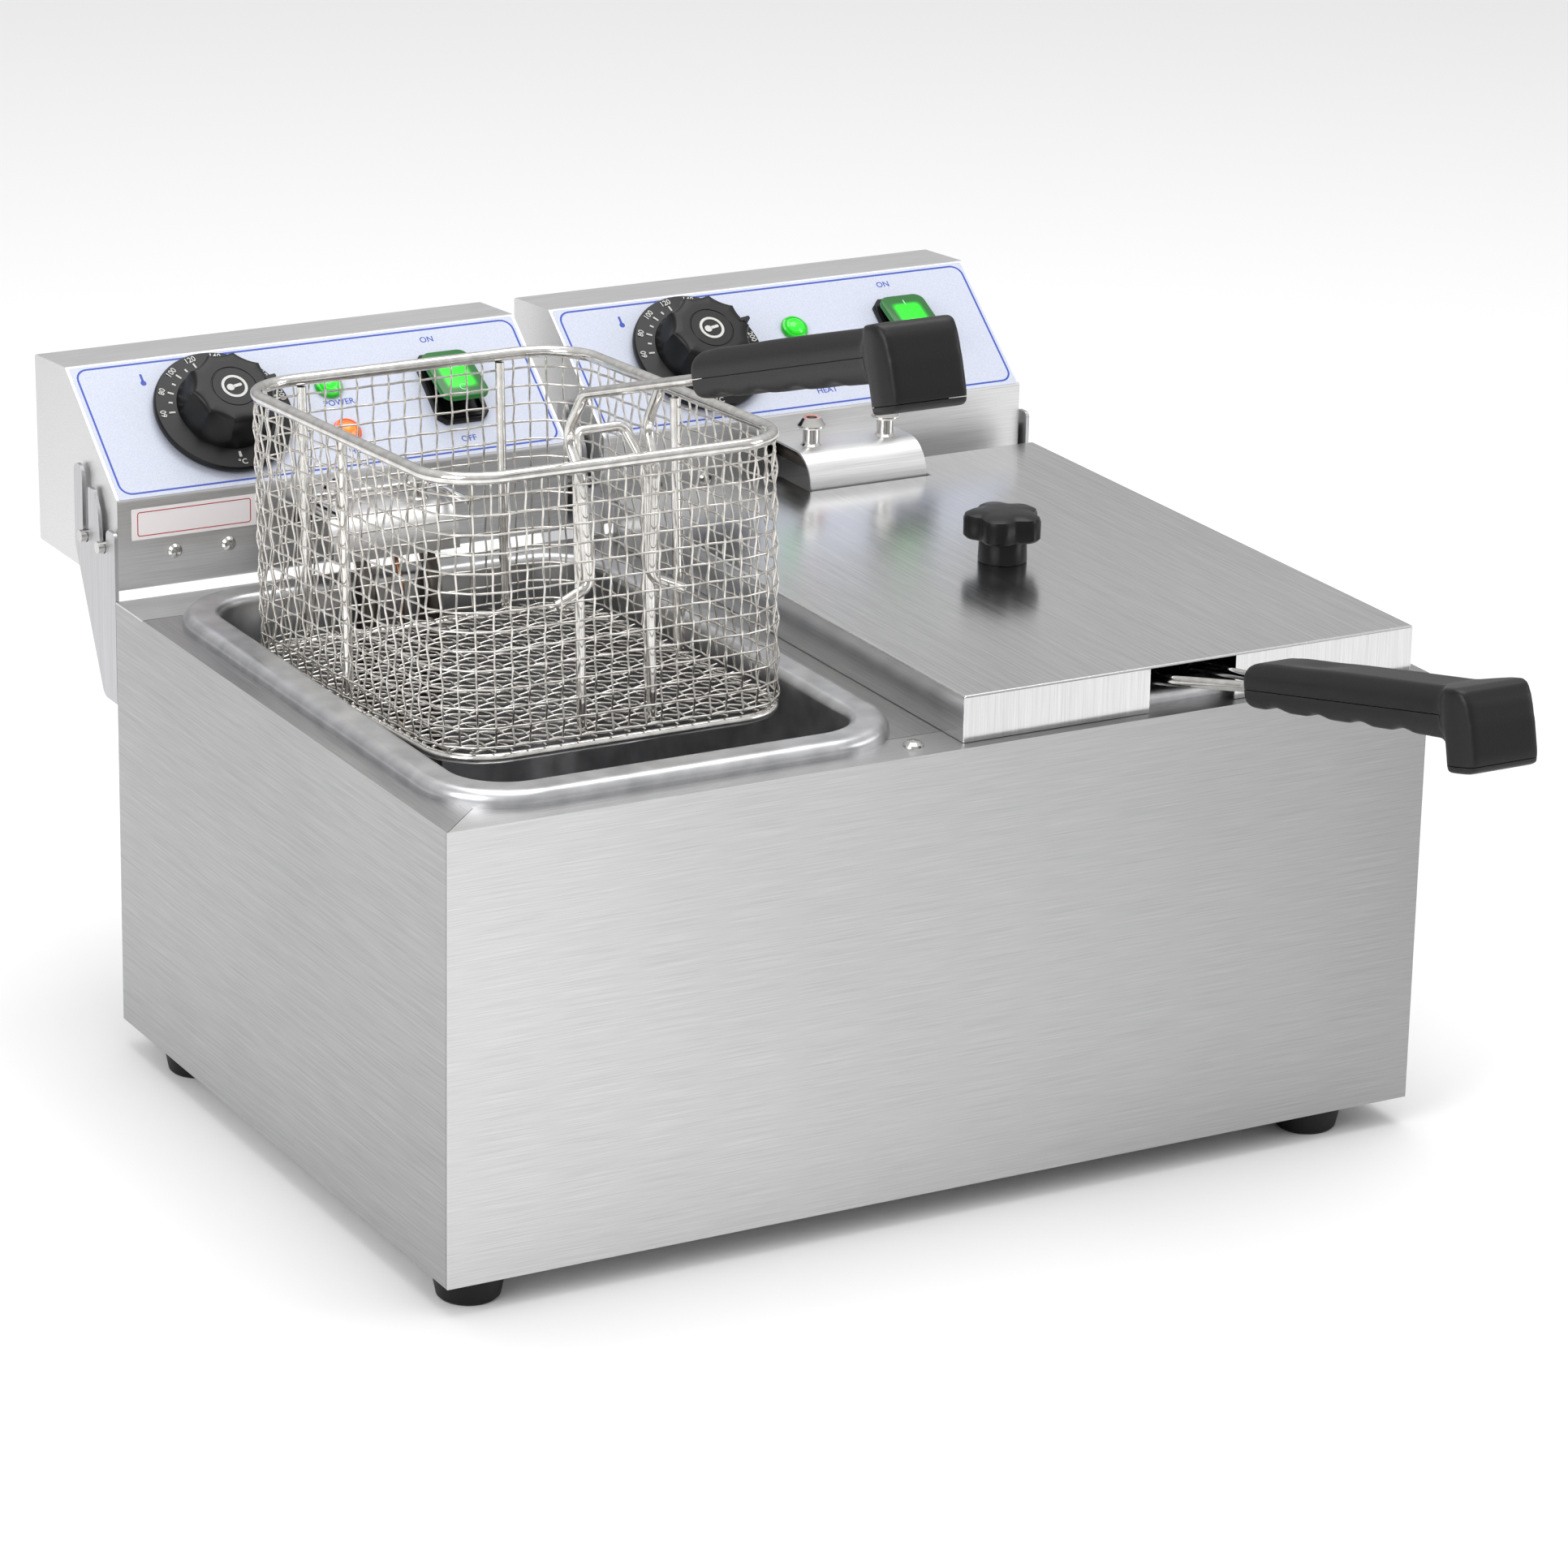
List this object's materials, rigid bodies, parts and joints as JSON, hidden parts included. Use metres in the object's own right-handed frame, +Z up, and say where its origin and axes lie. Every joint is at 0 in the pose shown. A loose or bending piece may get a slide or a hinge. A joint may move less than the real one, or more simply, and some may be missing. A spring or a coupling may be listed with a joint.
{
  "type": "countertop electric deep fryer",
  "caption": "Countertop electric deep fryer: side-by-side oil wells, hinged control heads with heating elements, wire frying baskets with long handles, and a lid.",
  "frame": {"origin": "centre of the overall footprint, on the plane the feet stand on", "axes": "+Z up; -Y towards the user, where the basket handles point; +X to the user's right"},
  "size_m": [0.5674, 0.7913, 0.5274],
  "materials": {
    "casing_steel": "satin brushed",
    "well_steel": "satin pressed",
    "polished_steel": "polished",
    "basket_wire": "bright plated",
    "element_sheath": "dull",
    "black_plastic": "semi gloss",
    "grip_plastic": "semi gloss",
    "foot_rubber": "matt",
    "green_lens": "glossy translucent",
    "amber_lens": "glossy translucent",
    "switch_lens": "glossy translucent",
    "copper_bulb": "dull",
    "ceramic": "matt"
  },
  "bodies": {
    "casing": {"front_panel": "casing_steel", "left_side_panel": "casing_steel", "right_side_panel": "casing_steel", "rear_panel": "casing_steel", "base_plate": "casing_steel", "centre_deck_strip": "casing_steel", "deck_rivets": "polished_steel", "feet": "foot_rubber", "foot_screws": "polished_steel", "left_well": "well_steel", "right_well": "well_steel", "left_pivot_brackets": "casing_steel", "right_pivot_brackets": "casing_steel", "bracket_screws": "polished_steel", "right_pivot_axle": "polished_steel", "right_head_shell": "casing_steel", "right_head_back_cover": "casing_steel", "right_guide_pins": "polished_steel", "right_element_cover": "casing_steel", "right_hanger_posts": "polished_steel", "right_heating_element": "element_sheath", "right_thermostat": "ceramic", "right_thermostat_bulb": "copper_bulb", "right_power_lamp": "green_lens", "right_heat_lamp": "amber_lens", "right_switch_frame": "black_plastic", "right_head_screws": "polished_steel", "right_cable_gland": "black_plastic", "right_terminal_block": "ceramic"},
    "left_axle": {"left_pivot_axle": "polished_steel"},
    "left_head": {"left_head_shell": "casing_steel", "left_head_back_cover": "casing_steel", "left_guide_pins": "polished_steel", "left_element_cover": "casing_steel", "left_hanger_posts": "polished_steel", "left_heating_element": "element_sheath", "left_thermostat": "ceramic", "left_thermostat_bulb": "copper_bulb", "left_power_lamp": "green_lens", "left_heat_lamp": "amber_lens", "left_switch_frame": "black_plastic", "left_head_screws": "polished_steel", "left_cable_gland": "black_plastic", "left_terminal_block": "ceramic"},
    "left_knob": {"left_knob": "black_plastic"},
    "right_knob": {"right_knob": "black_plastic"},
    "left_rocker": {"left_rocker": "switch_lens"},
    "right_rocker": {"right_rocker": "switch_lens"},
    "left_basket": {"left_basket_mesh": "basket_wire", "left_basket_frame": "basket_wire", "left_handle_wires": "basket_wire", "left_grip_upper": "grip_plastic", "left_grip_lower": "grip_plastic"},
    "right_basket": {"right_basket_mesh": "basket_wire", "right_basket_frame": "basket_wire", "right_handle_wires": "basket_wire", "right_grip_upper": "grip_plastic", "right_grip_lower": "grip_plastic"},
    "lid": {"lid": "casing_steel", "lid_knob": "black_plastic"}
  },
  "joints": [
    {"name": "left_knob_turn", "type": "hinge", "parent": "left_head", "child": "left_knob", "pos_m": [-0.2005, 0.30411, 0.33156], "axis": [0, -0.6346, 0.7728], "range_deg": [-240, 30]},
    {"name": "left_rocker_tip", "type": "hinge", "parent": "left_head", "child": "left_rocker", "pos_m": [-0.0655, 0.3015, 0.33316], "axis": [1, 0, 0], "range_deg": [0, 26]},
    {"name": "right_knob_turn", "type": "hinge", "parent": "casing", "child": "right_knob", "pos_m": [0.0865, 0.30411, 0.33156], "axis": [0, -0.6346, 0.7728], "range_deg": [-240, 30]},
    {"name": "right_rocker_tip", "type": "hinge", "parent": "casing", "child": "right_rocker", "pos_m": [0.2215, 0.3015, 0.33316], "axis": [1, 0, 0], "range_deg": [0, 26]},
    {"name": "left_axle_lift", "type": "slide", "parent": "casing", "child": "left_axle", "axis": [0, 0, 1], "range_m": [0, 0.0201]},
    {"name": "left_head_tilt", "type": "hinge", "parent": "left_axle", "child": "left_head", "pos_m": [0, 0.30333, 0.276], "axis": [-1, 0, 0], "range_deg": [0, 90]},
    {"name": "left_basket_lift", "type": "slide", "parent": "left_head", "child": "left_basket", "axis": [0, 0, 1], "range_m": [0, 0.12]},
    {"name": "right_basket_lift", "type": "slide", "parent": "casing", "child": "right_basket", "axis": [0, 0, 1], "range_m": [0, 0.17]},
    {"name": "lid_lift", "type": "slide", "parent": "right_basket", "child": "lid", "axis": [0, 0, 1], "range_m": [0, 0.12]}
  ],
  "couplings": [
    {"joint": "left_axle_lift", "follows": "left_head_tilt", "m_per_rad": 0.012732}
  ]
}
